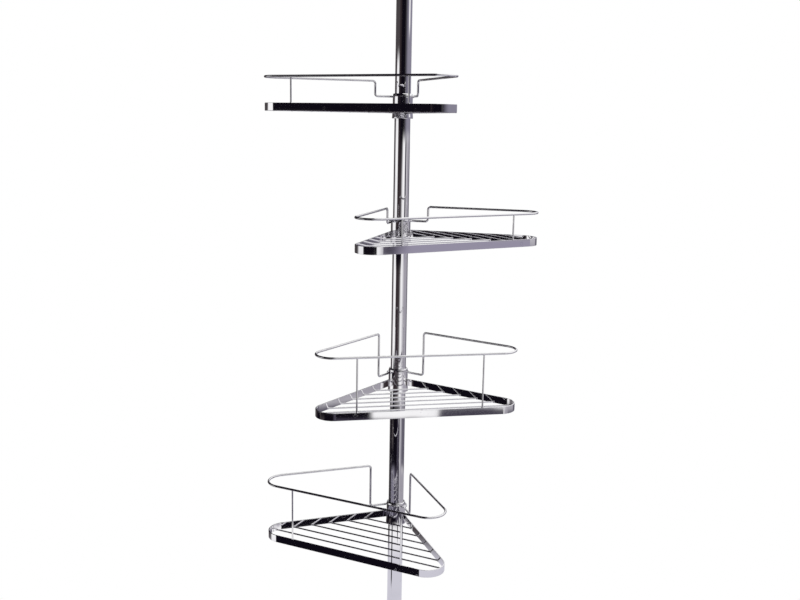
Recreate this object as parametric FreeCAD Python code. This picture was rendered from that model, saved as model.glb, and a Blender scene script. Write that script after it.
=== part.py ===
"""Tension pole with four swivelling corner shelves, wedged between a floor and a ceiling.

Millimetres, +Z up. The origin is the centre of the foot pad's underside, on the pole's axis.
A shelf turned to zero degrees has its front edge towards -Y.
"""
import FreeCAD
import Part
import math
import os
from FreeCAD import Vector

# ---- Pole: two outer tubes end to end, and a thinner tube sliding in the upper one ----
POLE_D = 22.2
POLE_WALL = 0.8
TUBE_EDGE = 0.2
LOWER_TUBE_LENGTH = 690.0
UPPER_TUBE_LENGTH = 640.0
TELESCOPE_GAP = 0.7
INNER_WALL = 0.8
INNER_TUBE_LENGTH = 710.0
INNER_SHOWN = 468.0
COUPLER_LENGTH = 90.0
COUPLER_WALL = 1.2

# ---- Foot and ceiling pads, each a rubber disc pegged into a cup ----
PAD_D = 46.0
PAD_THICKNESS = 7.0
PAD_CHAMFER = 1.2
PEG_D = 9.0
CUP_D = 41.0
CUP_FLOOR = 5.0
CUP_HEIGHT = 34.0
TOP_CUP_HEIGHT = 28.0
CUP_WALL = 2.3
CUP_EDGE = 1.0
CUP_SHOULDER = 6.0
CUP_BEAD = 1.5
CUP_BEAD_DROP = 2.0
CUP_MOUTH_EASE = 0.4

# ---- Lock on the upper tube's mouth: a split ferrule squeezed by a screw collar ----
FERRULE_GRIP = 20.0
FERRULE_FLANGE = 4.0
FERRULE_WALL = 1.9
FERRULE_LIP = 1.4
FINGER_ROOT = 1.0
COLLET_LENGTH = 14.0
COLLET_SLIT = 1.2
COLLET_TAPER = 1.2
COLLET_ROOT_WALL = 0.6
THREAD_ABOVE_MOUTH = 2.5
COLLAR_WALL = 3.1
COLLAR_TOP_WALL = 3.0
COLLAR_EDGE = 1.0
COLLAR_BEVEL = 3.0
COLLAR_BEVEL_DROP = 4.0
COLLAR_FLUTES = 20
FLUTE_D = 2.6
FLUTE_START = 3.0
FLUTE_END = 6.0

# ---- Sprung plunger in the inner tube's top ----
PLUNGER_WALL = 1.5
PLUNGER_FLANGE = 6.0
PLUNGER_STROKE = 30.0
BUSH_LENGTH = 52.0
BUSH_WALL = 2.15
BUSH_HEAD = 3.0
BUSH_OVERHANG = 1.2
BUSH_EDGE = 1.0
SPRING_LENGTH = 100.0
SPRING_COILS = 9
SPRING_WIRE_D = 1.8
SPRING_SIDE_GAP = 1.7
SEAT_THICKNESS = 12.0
GUIDE_FLANGE = 10.0
GUIDE_SPIGOT = 14.0
GUIDE_BORE = 12.0
GUIDE_EASE = 0.8
SPIGOT_HEIGHT = 5.0
SPIGOT_EASE = 1.0

# ---- Shelf outline: straight front, two round corners, sides at 45 degrees to the sleeve ----
CORNER_X = 110.6
CORNER_RADIUS = 24.5
SIDE_LEAD = 2.5
SIDE_ANGLE = math.radians(45.0)
RIM_HEIGHT = 10.2
RIM_THICKNESS = 1.5
RIM_EDGE_RADIUS = 0.3

# ---- Shelf wires ----
RAIL_WIRE_D = 3.0
RAIL_BEND = 4.0
RAIL_HOOK_BEND = 5.0
RAIL_STEP_X = 32.7
UPRIGHT_D = 2.2
UPRIGHT_X = 84.0
GRID_WIRE_D = 2.0
GRID_PITCH = 19.2
GRID_FIRST = 14.1
GRID_BACK_GAP = 25.0
GRID_LIFT = 0.5

# ---- Sleeve at the back of each shelf, and the split wedge that grips the pole inside it ----
SLEEVE_BELOW = 7.0
SLEEVE_ABOVE = 27.0
SLEEVE_WALL = 1.0
SLEEVE_LIP = 1.6
SLEEVE_EDGE_IN = 0.5
SLEEVE_EDGE_UP = 0.7
LIP_CLEARANCE = 0.5
WEDGE_TOP_WALL = 1.3
WEDGE_BOTTOM_WALL = 2.5
WEDGE_GAP = 1.2
WEDGE_INSET = 0.6

# ---- Clearances: radial unless named otherwise ----
RUNNING = 0.05
SLIDING = 0.08
STOP_GAP = 0.3
MOUTH_CLEARANCE = 0.5
WELD_BITE = 0.15
SAME_POINT = 0.01

# ---- The shelves from the top down: height of the rim's lower edge, turn about the pole in
# ---- degrees, and how high the rail is and how far below the sleeve's top its low run joins
LOWEST_SHELF = 470.0
SHELF_GAPS = (173.0, 219.0, 206.0)
SHELF_TURNS = (-26.0, 29.0, 11.0, -26.0)
LOW_RAIL = (43.8, 4.0)
TALL_RAIL = (83.0, 7.0)
SHELF_RAILS = (LOW_RAIL, LOW_RAIL, TALL_RAIL, TALL_RAIL)

# ---- Levels along the pole, worked out from the sizes above ----
LOWER_TUBE_Z = PAD_THICKNESS + CUP_FLOOR
SEAM_Z = LOWER_TUBE_Z + LOWER_TUBE_LENGTH
MOUTH_Z = SEAM_Z + UPPER_TUBE_LENGTH
FINGER_Z = MOUTH_Z + THREAD_ABOVE_MOUTH
FINGER_TOP_Z = FINGER_Z + COLLET_LENGTH
COLLAR_Z = MOUTH_Z - FERRULE_GRIP + FERRULE_FLANGE + STOP_GAP
COLLAR_TOP_Z = FINGER_TOP_Z + STOP_GAP + COLLAR_TOP_WALL
INNER_TOP_Z = MOUTH_Z + INNER_SHOWN
INNER_BOTTOM_Z = INNER_TOP_Z - INNER_TUBE_LENGTH
BUSH_BOTTOM_Z = INNER_TOP_Z - BUSH_LENGTH
PLUNGER_BOTTOM_Z = BUSH_BOTTOM_Z - STOP_GAP - PLUNGER_FLANGE
SPRING_BOTTOM_Z = PLUNGER_BOTTOM_Z - SPRING_LENGTH
TOP_CUP_Z = INNER_TOP_Z + BUSH_HEAD + PLUNGER_STROKE + STOP_GAP
PLUNGER_TOP_Z = TOP_CUP_Z + TOP_CUP_HEIGHT - CUP_FLOOR
TOTAL_HEIGHT = TOP_CUP_Z + TOP_CUP_HEIGHT + PAD_THICKNESS

# ---- Radii that several pieces share ----
POLE_R = POLE_D / 2
POLE_BORE_R = POLE_R - POLE_WALL
INNER_R = POLE_BORE_R - TELESCOPE_GAP
INNER_BORE_R = INNER_R - INNER_WALL
PLUNGER_R = INNER_BORE_R - BUSH_WALL - RUNNING
SPRING_R = INNER_BORE_R - SPRING_SIDE_GAP
THREAD_R = POLE_R + FERRULE_WALL
SLEEVE_TOP_R = POLE_R + WEDGE_TOP_WALL + SLEEVE_WALL + 2 * RUNNING
SLEEVE_BOTTOM_R = POLE_R + WEDGE_BOTTOM_WALL + SLEEVE_WALL + 2 * RUNNING
RAIL_R = RAIL_WIRE_D / 2

# ---- The side line meets the sleeve's flank SIDE_LEAD in front of the pole's axis ----
SIDE_OFFSET = (RIM_THICKNESS / 2 + SLEEVE_BOTTOM_R * math.sin(SIDE_ANGLE)
               - SIDE_LEAD * math.cos(SIDE_ANGLE))
FRONT_Y = -(CORNER_X * math.sin(SIDE_ANGLE) + CORNER_RADIUS * (1 + math.cos(SIDE_ANGLE))
            - SIDE_OFFSET) / math.cos(SIDE_ANGLE)

UP = Vector(0, 0, 1)


# ---------------------------------------------------------------- general shapes

def turned(profile):
    """Solid of revolution about the Z axis from (radius, z) points."""
    points = [Vector(r, 0, z) for r, z in profile]
    face = Part.Face(Part.makePolygon(points + points[:1]))
    return face.revolve(Vector(0, 0, 0), UP, 360)


def tube(outer_r, bore_r, bottom, top, ease=0.0):
    """Round tube, with its outer and inner end corners eased by a small chamfer."""
    if ease == 0.0:
        return turned([(bore_r, bottom), (outer_r, bottom), (outer_r, top), (bore_r, top)])
    return turned([
        (bore_r + ease, bottom), (outer_r - ease, bottom), (outer_r, bottom + ease),
        (outer_r, top - ease), (outer_r - ease, top), (bore_r + ease, top),
        (bore_r, top - ease), (bore_r, bottom + ease)])


def flipped(shape, z):
    """The shape turned upside down about the level z."""
    copy = shape.copy()
    copy.rotate(Vector(0, 0, z), Vector(1, 0, 0), 180)
    return copy


def rod(start, end, radius):
    """Round bar from one point to another."""
    return Part.makeCylinder(radius, start.distanceToPoint(end), start, end - start)


def bent_rod(corners, bends, radius):
    """Closed round wire through the corners, each rounded to its own bend radius."""
    count = len(corners)
    starts = []
    ends = []
    pieces = []
    for i in range(count):
        corner = corners[i]
        before = (corners[i - 1] - corner).normalize()
        after = (corners[(i + 1) % count] - corner).normalize()
        inside = before.getAngle(after)
        reach = bends[i] / math.tan(inside / 2)
        start = corner + before * reach
        middle = (before + after).normalize()
        centre = corner + middle * (bends[i] / math.sin(inside / 2))
        disc = Part.Face(Part.Wire(Part.makeCircle(radius, start, before)))
        axis = (start - centre).cross(corner - centre)
        pieces.append(disc.revolve(centre, axis, math.degrees(math.pi - inside)))
        starts.append(start)
        ends.append(corner + after * reach)
    for i in range(count):
        following = starts[(i + 1) % count]
        if ends[i].distanceToPoint(following) > SAME_POINT:
            pieces.append(rod(ends[i], following, radius))
    return pieces[0].multiFuse(pieces[1:]).removeSplitter()


def export(name, *solids):
    """Write one node: one solid, or a group of separate alike solids."""
    shape = solids[0] if len(solids) == 1 else Part.makeCompound(list(solids))
    assert shape.isValid(), name
    shape.exportStep("parts/" + name + ".step")


# ---------------------------------------------------------------- pole

def make_pad():
    """Rubber disc, its peg pointing up into the cup's floor."""
    pad_r = PAD_D / 2
    peg_r = PEG_D / 2
    top = PAD_THICKNESS
    return turned([
        (0, 0), (pad_r - PAD_CHAMFER, 0), (pad_r, PAD_CHAMFER), (pad_r, top - PAD_CHAMFER),
        (pad_r - PAD_CHAMFER, top), (peg_r, top), (peg_r, top + CUP_FLOOR), (0, top + CUP_FLOOR)])


def make_cup(stem_r, height):
    """Tapered cup that stands on the pad and holds the end of a round stem."""
    neck_r = stem_r + CUP_WALL
    cup_r = CUP_D / 2
    base = PAD_THICKNESS
    floor = base + CUP_FLOOR
    top = base + height
    return turned([
        (PEG_D / 2, base), (cup_r - CUP_EDGE, base), (cup_r, base + CUP_EDGE),
        (cup_r, base + CUP_SHOULDER), (neck_r + CUP_BEAD, top - CUP_BEAD_DROP), (neck_r, top),
        (stem_r + CUP_MOUTH_EASE, top), (stem_r, top - CUP_MOUTH_EASE),
        (stem_r, floor), (PEG_D / 2, floor)])


def make_coupler():
    """Short tube inside the two outer tubes, across their seam."""
    half = COUPLER_LENGTH / 2
    return tube(POLE_BORE_R, POLE_BORE_R - COUPLER_WALL, SEAM_Z - half, SEAM_Z + half)


def make_ferrule():
    """Pressed on the upper tube's mouth, ending in four tapered fingers round the inner tube."""
    bottom = MOUTH_Z - FERRULE_GRIP
    finger_bore = INNER_R + RUNNING
    root_r = POLE_R + COLLET_ROOT_WALL
    lip_r = THREAD_R + FERRULE_LIP
    ring = turned([
        (POLE_R, bottom), (lip_r, bottom), (lip_r, bottom + FERRULE_FLANGE),
        (THREAD_R, bottom + FERRULE_FLANGE), (THREAD_R, FINGER_Z - FINGER_ROOT), (root_r, FINGER_Z),
        (root_r - COLLET_TAPER, FINGER_TOP_Z), (finger_bore, FINGER_TOP_Z),
        (finger_bore, MOUTH_Z), (POLE_R, MOUTH_Z)])
    span = 2 * POLE_D
    for turn in (0, 90):
        slit = Part.makeBox(span, COLLET_SLIT, COLLET_LENGTH + 1,
                            Vector(-span / 2, -COLLET_SLIT / 2, FINGER_Z))
        slit.rotate(Vector(0, 0, 0), UP, turn + 45)
        ring = ring.cut(slit)
    return ring


def make_collar():
    """Fluted collar over the ferrule: turning it squeezes the fingers on the inner tube."""
    bottom = COLLAR_Z
    top = COLLAR_TOP_Z
    thread_r = THREAD_R + RUNNING
    outer = thread_r + COLLAR_WALL
    root_r = POLE_R + COLLET_ROOT_WALL + STOP_GAP
    taper_end = FINGER_TOP_Z + STOP_GAP
    collar = turned([
        (thread_r, bottom), (outer - COLLAR_EDGE, bottom), (outer, bottom + COLLAR_EDGE),
        (outer, top - COLLAR_BEVEL_DROP), (outer - COLLAR_BEVEL, top),
        (INNER_R + MOUTH_CLEARANCE, top),
        (INNER_R + MOUTH_CLEARANCE, taper_end), (root_r - COLLET_TAPER, taper_end),
        (root_r, FINGER_Z), (thread_r, FINGER_Z - FINGER_ROOT + STOP_GAP)])
    flutes = []
    for i in range(COLLAR_FLUTES):
        flute = Part.makeCylinder(FLUTE_D / 2, top - bottom - FLUTE_START - FLUTE_END,
                                  Vector(outer + FLUTE_D / 4, 0, bottom + FLUTE_START))
        flute.rotate(Vector(0, 0, 0), UP, i * 360 / COLLAR_FLUTES)
        flutes.append(flute)
    return collar.cut(flutes)


def make_guide_bush():
    """Plug on the inner tube's lower end that slides in the upper tube's bore."""
    rim_r = POLE_BORE_R - SLIDING
    bottom = INNER_BOTTOM_Z - GUIDE_FLANGE
    return turned([
        (GUIDE_BORE / 2, bottom), (rim_r - GUIDE_EASE, bottom), (rim_r, bottom + GUIDE_EASE),
        (rim_r, INNER_BOTTOM_Z), (INNER_BORE_R, INNER_BOTTOM_Z),
        (INNER_BORE_R, INNER_BOTTOM_Z + GUIDE_SPIGOT),
        (GUIDE_BORE / 2, INNER_BOTTOM_Z + GUIDE_SPIGOT)])


def make_spring_seat():
    """Plug fixed in the inner tube that the spring stands on."""
    top = SPRING_BOTTOM_Z
    spigot_r = SPRING_R - SPRING_WIRE_D - STOP_GAP
    spigot_top = top + SPIGOT_HEIGHT
    return turned([
        (0, top - SEAT_THICKNESS), (INNER_BORE_R, top - SEAT_THICKNESS), (INNER_BORE_R, top),
        (spigot_r, top), (spigot_r, spigot_top - SPIGOT_EASE),
        (spigot_r - SPIGOT_EASE, spigot_top), (0, spigot_top)])


def make_spring():
    """Compression spring with its ends ground flat."""
    wire_r = SPRING_WIRE_D / 2
    coil_r = SPRING_R - wire_r
    pitch = SPRING_LENGTH / SPRING_COILS
    helix = Part.makeHelix(pitch, SPRING_LENGTH + pitch, coil_r)
    helix.translate(Vector(0, 0, -pitch / 2))
    start = helix.Edges[0].valueAt(helix.Edges[0].FirstParameter)
    heading = helix.Edges[0].tangentAt(helix.Edges[0].FirstParameter)
    section = Part.Wire(Part.makeCircle(wire_r, start, heading))
    sweep = Part.BRepOffsetAPI.MakePipeShell(Part.Wire(helix.Edges))
    sweep.setFrenetMode(True)
    sweep.add(section)
    sweep.build()
    sweep.makeSolid()
    coil = sweep.shape()
    kept = Part.makeCylinder(2 * SPRING_R, SPRING_LENGTH)
    coil = coil.common(kept)
    coil.translate(Vector(0, 0, SPRING_BOTTOM_Z))
    return coil.Solids[0]


def make_plunger_bush():
    """Long guide bush in the inner tube's mouth, with a head that covers the tube's edge."""
    bore_r = PLUNGER_R + RUNNING
    head_r = INNER_R + BUSH_OVERHANG
    head_top = INNER_TOP_Z + BUSH_HEAD
    return turned([
        (bore_r, BUSH_BOTTOM_Z), (INNER_BORE_R, BUSH_BOTTOM_Z), (INNER_BORE_R, INNER_TOP_Z),
        (head_r, INNER_TOP_Z), (head_r, head_top - BUSH_EDGE),
        (head_r - BUSH_EDGE, head_top), (bore_r, head_top)])


def make_plunger():
    """Hollow stem with a closed flange below the bush that the spring pushes on."""
    bore_r = PLUNGER_R - PLUNGER_WALL
    flange_r = INNER_BORE_R - SLIDING
    flange_top = PLUNGER_BOTTOM_Z + PLUNGER_FLANGE
    return turned([
        (0, PLUNGER_BOTTOM_Z), (flange_r, PLUNGER_BOTTOM_Z), (flange_r, flange_top),
        (PLUNGER_R, flange_top), (PLUNGER_R, PLUNGER_TOP_Z), (bore_r, PLUNGER_TOP_Z),
        (bore_r, flange_top), (0, flange_top)])


def make_pole():
    """Every piece of the pole from the floor to the ceiling."""
    pad = make_pad()
    ceiling_cup = make_cup(PLUNGER_R, TOP_CUP_HEIGHT)
    export("foot_pad", pad)
    export("foot_cup", make_cup(POLE_R, CUP_HEIGHT))
    export("lower_tube", tube(POLE_R, POLE_BORE_R, LOWER_TUBE_Z, SEAM_Z, TUBE_EDGE))
    export("tube_coupler", make_coupler())
    export("upper_tube", tube(POLE_R, POLE_BORE_R, SEAM_Z, MOUTH_Z, TUBE_EDGE))
    export("lock_ferrule", make_ferrule())
    export("lock_collar", make_collar())
    export("inner_tube", tube(INNER_R, INNER_BORE_R, INNER_BOTTOM_Z, INNER_TOP_Z,
                              TUBE_EDGE))
    export("guide_bush", make_guide_bush())
    export("spring_seat", make_spring_seat())
    export("plunger_spring", make_spring())
    export("plunger_bush", make_plunger_bush())
    export("plunger", make_plunger())
    export("ceiling_cup", flipped(ceiling_cup, TOTAL_HEIGHT / 2))
    export("ceiling_pad", flipped(pad, TOTAL_HEIGHT / 2))


# ---------------------------------------------------------------- shelves, each at its own rim

def side_y(x, inset):
    """Y of the side line, set in from the rim's outer face, at a distance x from the middle."""
    to_axis = (SIDE_OFFSET - inset) / math.cos(SIDE_ANGLE)
    return to_axis - abs(x) * math.tan(SIDE_ANGLE)


def outline_face(inset):
    """Filled plan of the shelf, set in from the rim's outer face."""
    front = FRONT_Y + inset
    radius = CORNER_RADIUS - inset
    middle_y = FRONT_Y + CORNER_RADIUS
    apex = Vector(0, side_y(0, inset), 0)

    def corner_point(sign, angle):
        return Vector(sign * (CORNER_X + radius * math.cos(angle)),
                      middle_y + radius * math.sin(angle), 0)

    first = -math.pi / 2
    last = math.pi / 2 - SIDE_ANGLE
    middle = (first + last) / 2
    right = [corner_point(1, angle) for angle in (first, middle, last)]
    left = [corner_point(-1, angle) for angle in (last, middle, first)]
    edges = [
        Part.LineSegment(Vector(-CORNER_X, front, 0), right[0]).toShape(),
        Part.Arc(*right).toShape(),
        Part.LineSegment(right[2], apex).toShape(),
        Part.LineSegment(apex, left[0]).toShape(),
        Part.Arc(*left).toShape()]
    return Part.Face(Part.Wire(edges))


def sleeve_r(z):
    """Outer radius of the tapered sleeve at a height above the rim's lower edge."""
    share = (z + SLEEVE_BELOW) / (SLEEVE_ABOVE + SLEEVE_BELOW)
    return SLEEVE_BOTTOM_R + share * (SLEEVE_TOP_R - SLEEVE_BOTTOM_R)


def sleeve_core():
    """Everything inside the sleeve's outer surface, which the welded pieces stop at."""
    return turned([
        (0, -SLEEVE_BELOW), (sleeve_r(-SLEEVE_BELOW), -SLEEVE_BELOW),
        (sleeve_r(SLEEVE_ABOVE), SLEEVE_ABOVE), (0, SLEEVE_ABOVE)])


def make_sleeve():
    """Tapered collar tube with its upper edge crimped in and its lower edge rounded."""
    low = -SLEEVE_BELOW
    crimp = SLEEVE_ABOVE - SLEEVE_LIP
    lip_r = POLE_R + LIP_CLEARANCE
    under_crimp = crimp - SLEEVE_WALL
    return turned([
        (sleeve_r(low) - SLEEVE_WALL, low), (sleeve_r(low) - SLEEVE_EDGE_IN, low),
        (sleeve_r(low + SLEEVE_EDGE_UP), low + SLEEVE_EDGE_UP), (sleeve_r(crimp), crimp),
        (lip_r + SLEEVE_WALL, SLEEVE_ABOVE), (lip_r, SLEEVE_ABOVE), (lip_r, crimp),
        (sleeve_r(under_crimp) - SLEEVE_WALL, under_crimp)])


def make_wedge_halves():
    """The two half shells between the pole and the sleeve, thicker towards the bottom."""
    bore_r = POLE_R + RUNNING
    bottom = -SLEEVE_BELOW + WEDGE_INSET
    top = SLEEVE_ABOVE - SLEEVE_LIP - SLEEVE_WALL - STOP_GAP
    skin = SLEEVE_WALL + RUNNING
    cone = turned([(bore_r, bottom), (sleeve_r(bottom) - skin, bottom),
                   (sleeve_r(top) - skin, top), (bore_r, top)])
    reach = 2 * SLEEVE_BOTTOM_R
    height = top - bottom + 2
    right_side = Part.makeBox(reach, 2 * reach, height, Vector(WEDGE_GAP / 2, -reach, bottom - 1))
    left_side = right_side.mirror(Vector(0, 0, 0), Vector(1, 0, 0))
    return cone.common(right_side), cone.common(left_side)


def make_rim(core):
    """Flat strip on edge, bent round the front and both sides, its ends against the sleeve."""
    strip = outline_face(0).cut(outline_face(RIM_THICKNESS))
    band = strip.extrude(Vector(0, 0, RIM_HEIGHT))
    level = [edge for edge in band.Edges if edge.BoundBox.ZLength < SAME_POINT]
    return band.makeFillet(RIM_EDGE_RADIUS, level).cut(core)


def make_rail(core, top, drop):
    """One closed wire: round the shelf, down at the back, and behind the sleeve."""
    inset = RIM_THICKNESS / 2
    low = SLEEVE_ABOVE - drop
    hook_r = sleeve_r(low) + RAIL_R - WELD_BITE
    front = FRONT_Y + inset
    front_x = (side_y(0, inset) - front) / math.tan(SIDE_ANGLE)
    corner_bend = CORNER_RADIUS - inset
    right = [
        (Vector(front_x, front, top), corner_bend),
        (Vector(RAIL_STEP_X, side_y(RAIL_STEP_X, inset), top), RAIL_BEND),
        (Vector(RAIL_STEP_X, side_y(RAIL_STEP_X, inset), low), RAIL_BEND),
        (Vector(hook_r, side_y(hook_r, inset), low), RAIL_HOOK_BEND),
        (Vector(hook_r, hook_r, low), hook_r)]
    left = [(Vector(-point.x, point.y, point.z), bend) for point, bend in reversed(right)]
    path = right + left
    wire = bent_rod([point for point, bend in path], [bend for point, bend in path], RAIL_R)
    return wire.cut(core)


def make_uprights(rail, top):
    """Two thin posts from the rim's upper edge to the underside of the rail."""
    y = FRONT_Y + RIM_THICKNESS / 2
    posts = []
    for x in (-UPRIGHT_X, UPRIGHT_X):
        post = rod(Vector(x, y, RIM_HEIGHT), Vector(x, y, top), UPRIGHT_D / 2)
        posts.append(post.cut(rail))
    return posts


def make_grid():
    """Straight floor wires from side to side, ending against the rim's inner face."""
    radius = GRID_WIRE_D / 2
    z = GRID_LIFT + radius
    inside = outline_face(RIM_THICKNESS).extrude(Vector(0, 0, RIM_HEIGHT))
    span = CORNER_X + CORNER_RADIUS
    count = 1 + int((-GRID_BACK_GAP - GRID_FIRST - FRONT_Y) / GRID_PITCH)
    wires = []
    for i in range(count):
        y = FRONT_Y + GRID_FIRST + i * GRID_PITCH
        wires.append(rod(Vector(-span, y, z), Vector(span, y, z), radius).common(inside))
    return wires


def make_shelf(number, height, turn, rail_heights):
    """One shelf with its sleeve and wedge, placed on the pole."""
    core = sleeve_core()
    rail = make_rail(core, *rail_heights)
    pieces = {
        "rim": [make_rim(core)],
        "rail": [rail],
        "uprights": make_uprights(rail, rail_heights[0]),
        "grid": make_grid(),
        "sleeve": [make_sleeve()]}
    pieces["wedge_right"], pieces["wedge_left"] = [[half] for half in make_wedge_halves()]
    place = FreeCAD.Placement(Vector(0, 0, height), FreeCAD.Rotation(UP, turn))
    for piece, solids in pieces.items():
        placed = [solid.transformed(place.toMatrix()) for solid in solids]
        export("shelf_%d_%s" % (number, piece), *placed)


def make_shelves():
    """The four shelves, numbered from the top down."""
    height = LOWEST_SHELF + sum(SHELF_GAPS)
    for i, turn in enumerate(SHELF_TURNS):
        make_shelf(i + 1, height, turn, SHELF_RAILS[i])
        if i < len(SHELF_GAPS):
            height -= SHELF_GAPS[i]


os.makedirs("parts", exist_ok=True)
make_pole()
make_shelves()
print("height %.1f, shelf width %.1f, shelf depth %.1f" % (
    TOTAL_HEIGHT, 2 * (CORNER_X + CORNER_RADIUS), SLEEVE_BOTTOM_R - FRONT_Y))
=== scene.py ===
# %% [markdown]
# # A tension pole with four swivelling corner shelves
# The real object stands between a floor and a ceiling: chromed tube, bent chromed wire, and a few
# plastic and rubber fittings at its ends. The imported model already has every piece in its true place
# and size, so this lesson only gives the pieces a finer surface and stands them in a studio.
# Everything is loaded once, in metres.

# %% Load the imported model
import math

import bmesh
import bpy
from mathutils import Matrix, Vector


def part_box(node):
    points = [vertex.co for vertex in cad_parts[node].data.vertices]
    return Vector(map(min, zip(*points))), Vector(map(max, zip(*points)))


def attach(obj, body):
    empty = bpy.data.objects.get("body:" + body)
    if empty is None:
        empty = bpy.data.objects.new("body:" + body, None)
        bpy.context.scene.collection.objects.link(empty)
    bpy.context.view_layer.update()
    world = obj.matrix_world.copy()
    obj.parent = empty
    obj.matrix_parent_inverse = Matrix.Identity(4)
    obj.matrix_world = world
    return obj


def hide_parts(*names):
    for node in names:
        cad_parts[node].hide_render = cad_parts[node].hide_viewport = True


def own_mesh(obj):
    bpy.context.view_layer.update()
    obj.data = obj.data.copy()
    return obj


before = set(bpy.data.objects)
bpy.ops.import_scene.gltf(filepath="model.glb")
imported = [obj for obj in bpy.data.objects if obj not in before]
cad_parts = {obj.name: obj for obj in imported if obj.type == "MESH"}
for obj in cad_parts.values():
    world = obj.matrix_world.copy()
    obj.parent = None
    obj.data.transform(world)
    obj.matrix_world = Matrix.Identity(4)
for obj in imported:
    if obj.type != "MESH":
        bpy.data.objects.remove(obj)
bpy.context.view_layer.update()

# %% [markdown]
# ## The camera
# A picture of a tall, thin object is taken from the front, with the camera a little above its middle
# and tipped down, so that the upper shelf is seen edge on and the lower ones more and more from above.
# The camera is built from its own three directions, because a slight roll is easier to add that way
# than with three angles that depend on each other.

# %% Stand the camera in front of the shelves
camera_place = Vector((-0.0017, -1.3483, 1.0548))
tip_down = math.radians(10.55)
turn_right = math.radians(0.11)
roll = math.radians(0.98)

forward = Vector((math.sin(turn_right) * math.cos(tip_down),
                  math.cos(turn_right) * math.cos(tip_down), -math.sin(tip_down)))
level_side = Vector((math.cos(turn_right), -math.sin(turn_right), 0.0))
level_up = level_side.cross(forward)
side = level_side * math.cos(roll) + level_up * math.sin(roll)
up = level_up * math.cos(roll) - level_side * math.sin(roll)

camera = bpy.data.objects.new("camera", bpy.data.cameras.new("camera"))
camera.data.sensor_width = 36.0
camera.data.lens = 42.75
camera.matrix_world = Matrix.Translation(camera_place) @ Matrix((side, up, -forward)).transposed().to_4x4()
bpy.context.scene.collection.objects.link(camera)
bpy.context.scene.camera = camera
print("camera", [round(c, 3) for c in camera_place], "lens", camera.data.lens)

# %% [markdown]
# ## Writing shaders as sums
# A finish is a sum of a few patterns: some haze, some scratches, a water mark. Written as nodes by
# hand that is a long list, so one small class wraps a node's output and turns + - * / into Math
# nodes. Every other node is added by one method, which takes the node's type, its settings and the
# values or links of its sockets.

# %% A wrapped output, and the sheet that nodes are written on
class Output:
    """One output of a node. Arithmetic on it adds Math nodes to its sheet."""

    def __init__(self, sheet, socket):
        self.sheet = sheet
        self.socket = socket

    def other(self, name):
        """Another output of the same node."""
        return Output(self.sheet, self.socket.node.outputs[name])

    def _math(self, operation, first, second):
        return self.sheet.node("Math", {"operation": operation}, {0: first, 1: second})

    def __add__(self, value):
        return self._math("ADD", self, value)

    def __radd__(self, value):
        return self._math("ADD", value, self)

    def __sub__(self, value):
        return self._math("SUBTRACT", self, value)

    def __rsub__(self, value):
        return self._math("SUBTRACT", value, self)

    def __mul__(self, value):
        return self._math("MULTIPLY", self, value)


class Sheet:
    """The nodes of one material or of the world."""

    def __init__(self, owner):
        owner.use_nodes = True
        self.owner = owner
        self.tree = owner.node_tree
        self.tree.nodes.clear()

    def node(self, kind, settings=None, values=None, output=0):
        """Add a node: its settings first, then the values or links of its sockets."""
        made = self.tree.nodes.new("ShaderNode" + kind)
        for name, setting in (settings or {}).items():
            setattr(made, name, setting)
        for name, value in (values or {}).items():
            if isinstance(value, Output):
                self.tree.links.new(value.socket, made.inputs[name])
            else:
                made.inputs[name].default_value = value
        return Output(self, made.outputs[output]) if made.outputs else None

    def crossing(self, value, edge, soft):
        """0 below the edge and 1 above it, with a soft crossing that is 2 * soft wide."""
        return self.node("MapRange", {"interpolation_type": "SMOOTHSTEP"}, {
            "Value": value, "From Min": edge - soft, "From Max": edge + soft})

    def between(self, value, low, high, soft):
        """1 between two edges and 0 outside them."""
        return self.crossing(value, low, soft) * (1.0 - self.crossing(value, high, soft))

    def blended(self, share, first, second):
        """One colour turning into another as the share goes from 0 to 1."""
        # The node has one pair of inputs for each type of value. Numbers 6 and 7 are the colours.
        return self.node("Mix", {"data_type": "RGBA"}, {0: share, 6: first, 7: second}, output=2)

    def noise(self, place, stretch, detail=2.0):
        """Cloudy pattern: stretch is how many patches fit in a metre along x, y and z."""
        stretched = self.node("VectorMath", {"operation": "MULTIPLY"}, {0: place, 1: stretch})
        return self.node("TexNoise", None, {"Vector": stretched, "Scale": 1.0, "Detail": detail})


def tone(code):
    """A colour written as on a colour card, RRGGBB, as Blender's linear numbers."""
    shares = [int(code[i:i + 2], 16) / 255 for i in (0, 2, 4)]
    return tuple(s / 12.92 if s <= 0.04045 else ((s + 0.055) / 1.055) ** 2.4 for s in shares) + (1.0,)


print("white", tone("ffffff"), "mid grey", [round(c, 3) for c in tone("808080")])

# %% [markdown]
# ## A light tent
# Chrome has no colour of its own. It shows the room, so a studio stands it in a tent of white cloth
# and hangs black felt and grey card in the tent to draw dark bands along it. Lamps alone would
# only make hot spots. The tent is painted on the world by compass direction and height, and only
# glossy rays see it. The camera sees plain white, and dull surfaces get plain even light.
# Directions are in degrees: 0 is towards the camera, 90 is to the camera's right, and the height is
# above the horizon. A right edge may lean, by so many degrees per degree of height.
# The flags hang one over the other, so a later one covers an earlier one. The grey ones at the back
# are what gives a bright tube its outline against a white backdrop, and the soft-edged ones make a
# slow change of tone round it. The smallest cards are hung for one flat front each.

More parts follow.
